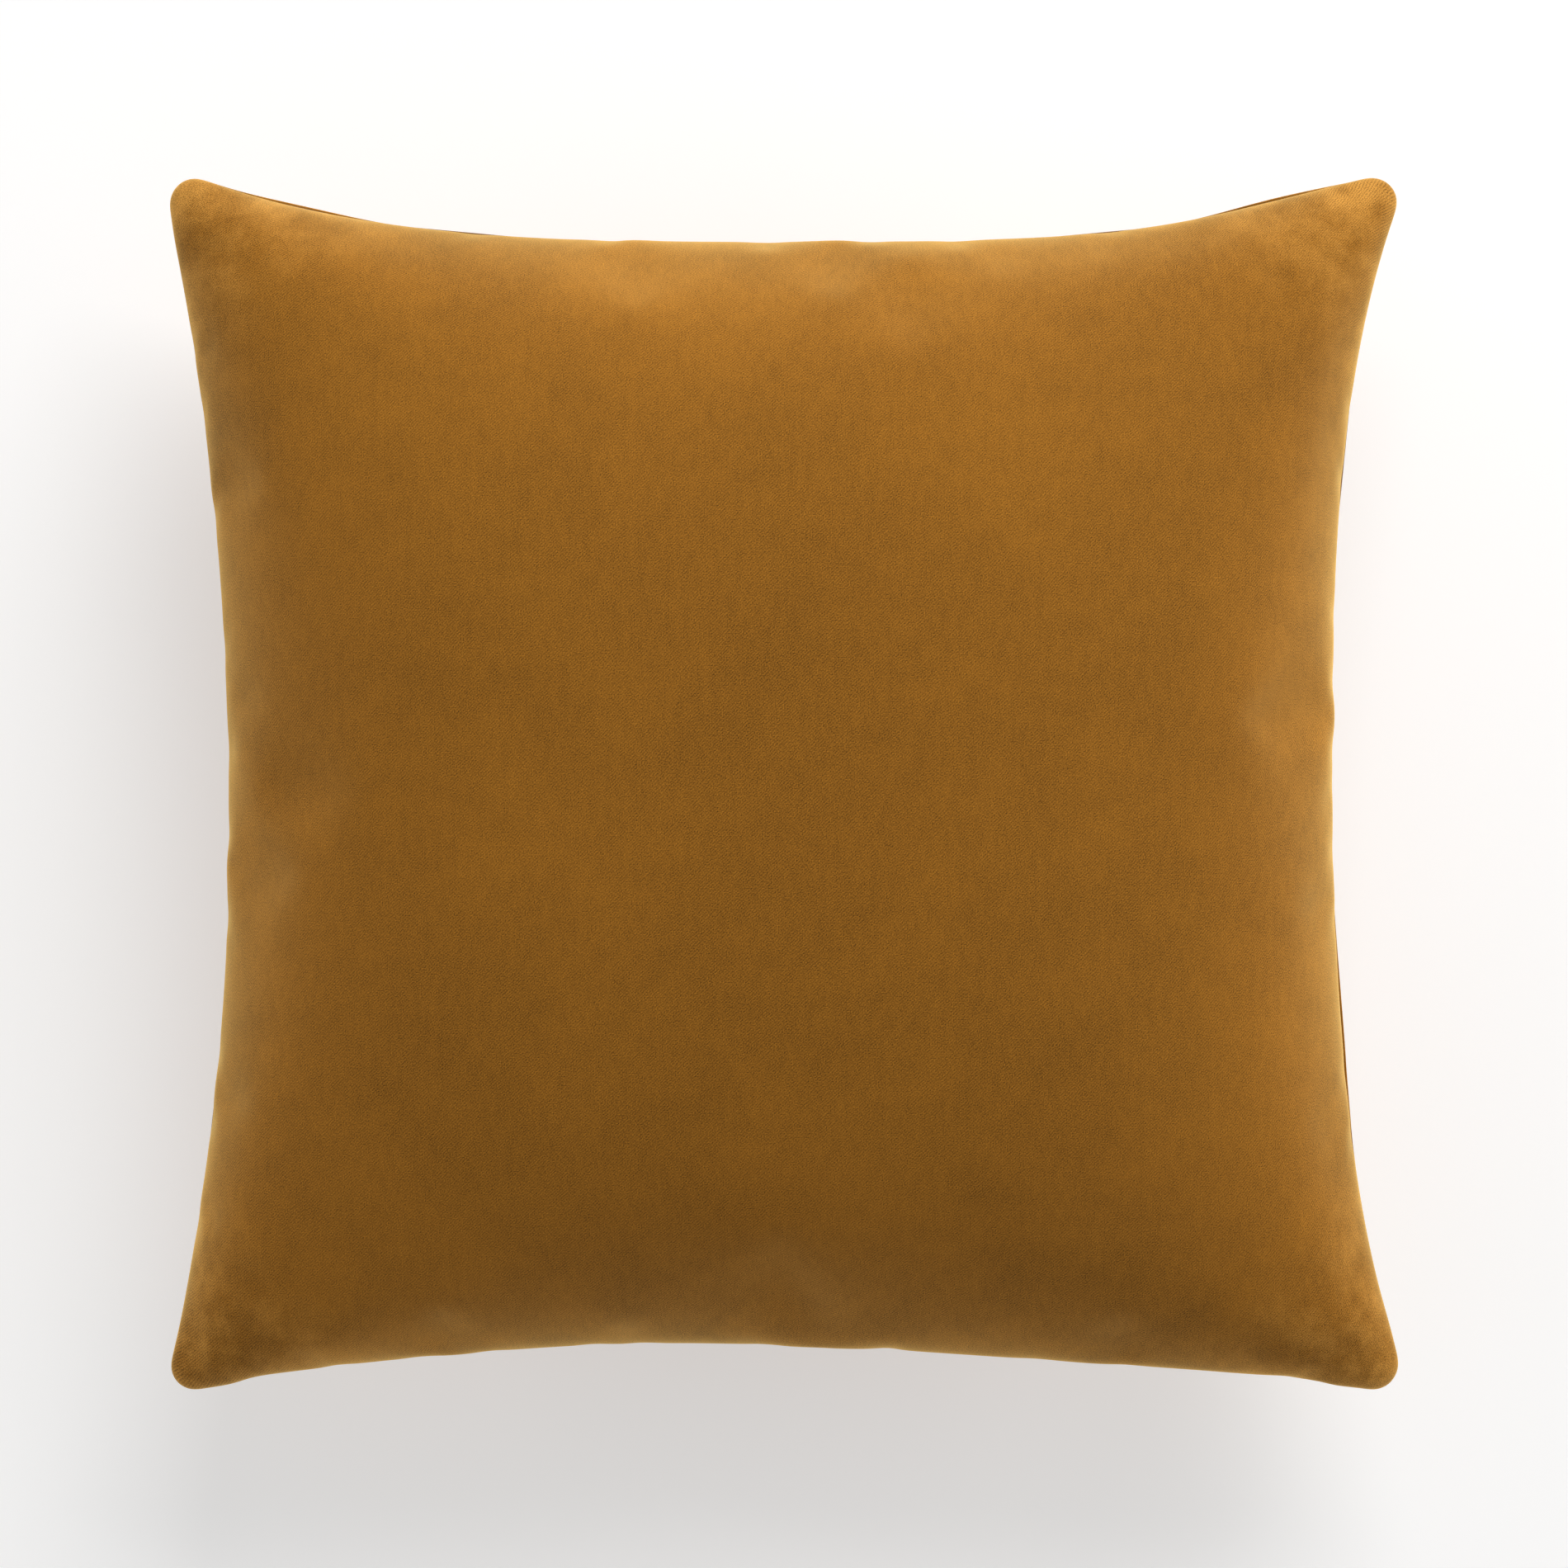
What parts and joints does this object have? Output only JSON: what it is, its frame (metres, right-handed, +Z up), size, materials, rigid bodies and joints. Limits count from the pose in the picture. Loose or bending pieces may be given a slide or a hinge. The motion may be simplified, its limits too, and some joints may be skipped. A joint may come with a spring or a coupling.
{
  "type": "throw pillow",
  "caption": "Square velvet throw pillow with knife-edge seams, a hidden zipper in one side and a removable filled insert.",
  "frame": {"origin": "under the centre of the pillow, on the surface it lies on", "axes": "+Z up out of the front panel, +X along the zipper towards its closed end, +Y from the zipper side to the opposite side"},
  "size_m": [0.4896, 0.4837, 0.172],
  "materials": {
    "velvet": "velvet pile, soft sheen",
    "sewing_thread": "matte",
    "zipper_tape": "matte",
    "zipper_coil": "satin",
    "zipper_metal": "satin",
    "label": "satin",
    "ticking": "matte",
    "white_thread": "matte",
    "filling": "matte"
  },
  "bodies": {
    "pillow": {"cover_front_panel": "velvet", "cover_back_panel": "velvet", "cover_seam_thread": "sewing_thread", "cover_overlock_thread": "sewing_thread", "cover_care_label": "label", "zipper_side_overlock_front": "sewing_thread", "zipper_side_overlock_back": "sewing_thread", "zipper_tape_front": "zipper_tape", "zipper_tape_back": "zipper_tape", "zipper_coil_front": "zipper_coil", "zipper_coil_back": "zipper_coil", "zipper_stitch_front": "sewing_thread", "zipper_stitch_back": "sewing_thread", "zipper_top_stop_front": "zipper_metal", "zipper_top_stop_back": "zipper_metal", "zipper_bottom_stop": "zipper_metal", "insert_front_panel": "ticking", "insert_back_panel": "ticking", "insert_seam_thread": "white_thread", "insert_closing_thread": "white_thread", "insert_overlock_thread": "white_thread", "insert_label": "label", "insert_fill": "filling"},
    "slider": {"zipper_slider": "zipper_metal"},
    "pull_tab": {"zipper_pull_tab": "zipper_metal"}
  },
  "joints": [
    {"name": "zipper_travel", "type": "hinge", "parent": "pillow", "child": "slider", "pos_m": [0, -1.67305, 0.08], "axis": [0, 0, 1], "range_deg": [0, 14.7]},
    {"name": "pull_tab_swing", "type": "hinge", "parent": "slider", "child": "pull_tab", "pos_m": [0.18708, -0.23346, 0.08], "axis": [0, 0, 1], "range_deg": [0, 180]}
  ]
}
